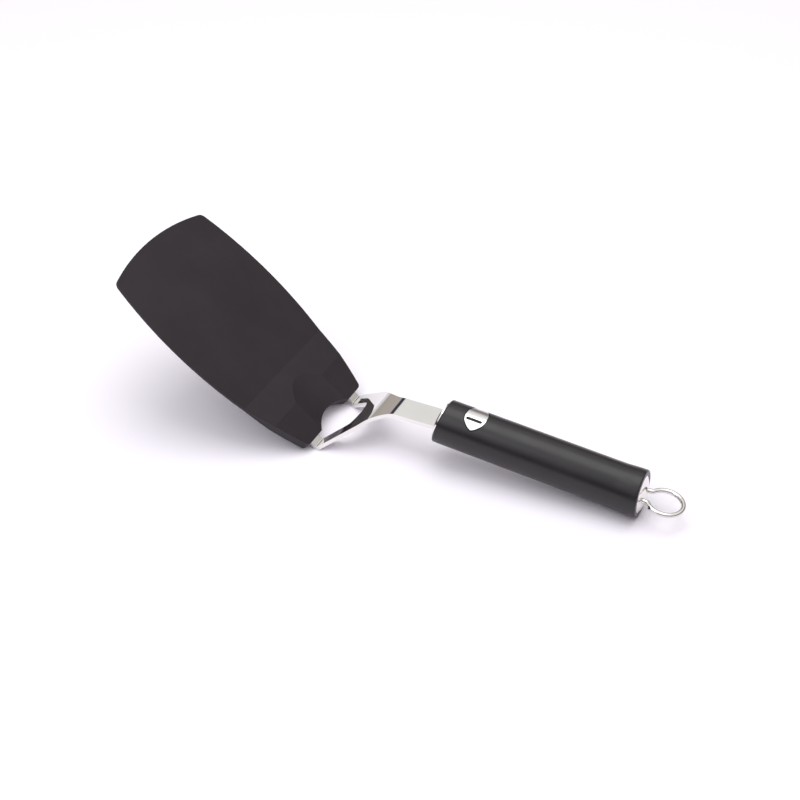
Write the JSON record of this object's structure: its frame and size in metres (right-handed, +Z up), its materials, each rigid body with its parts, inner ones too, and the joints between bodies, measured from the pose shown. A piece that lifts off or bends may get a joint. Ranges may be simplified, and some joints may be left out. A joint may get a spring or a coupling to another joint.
{
  "type": "grill spatula",
  "caption": "Grill turner with a wide moulded blade on a bent, forked steel plate, a round grip closed by domed steel caps, a curved badge and a wire hanging loop.",
  "frame": {"origin": "centre of the bounding box's bottom face, with the tool resting on the fork's heel and on the lowest point of the grip's rear rim", "axes": "+X along the tool from the blade's front edge to the hanging loop, +Z up, Y = 0 is the mirror plane"},
  "size_m": [0.3531, 0.1066, 0.1022],
  "materials": {
    "nylon_black": "fine matte moulded texture",
    "steel_polished": "polished flat steel with rounded edges",
    "grip_dark": "soft satin",
    "cap_polished": "polished dome",
    "badge_steel": "dark satin",
    "wire_steel": "polished wire",
    "inner_plastic": "plain moulded",
    "soft_rubber": "soft matte",
    "pin_steel": "plain"
  },
  "bodies": {
    "root": {"turner_head": "nylon_black", "fork_shank": "steel_polished", "grip_sleeve": "grip_dark", "front_collar": "cap_polished", "collar_seal": "soft_rubber", "handle_core": "inner_plastic", "tang_pins": "pin_steel", "badge_plate": "badge_steel", "badge_tape": "soft_rubber", "end_cap": "cap_polished", "end_plug": "inner_plastic", "plug_oring": "soft_rubber", "hanging_loop": "wire_steel", "loop_crimp": "pin_steel"}
  },
  "joints": []
}
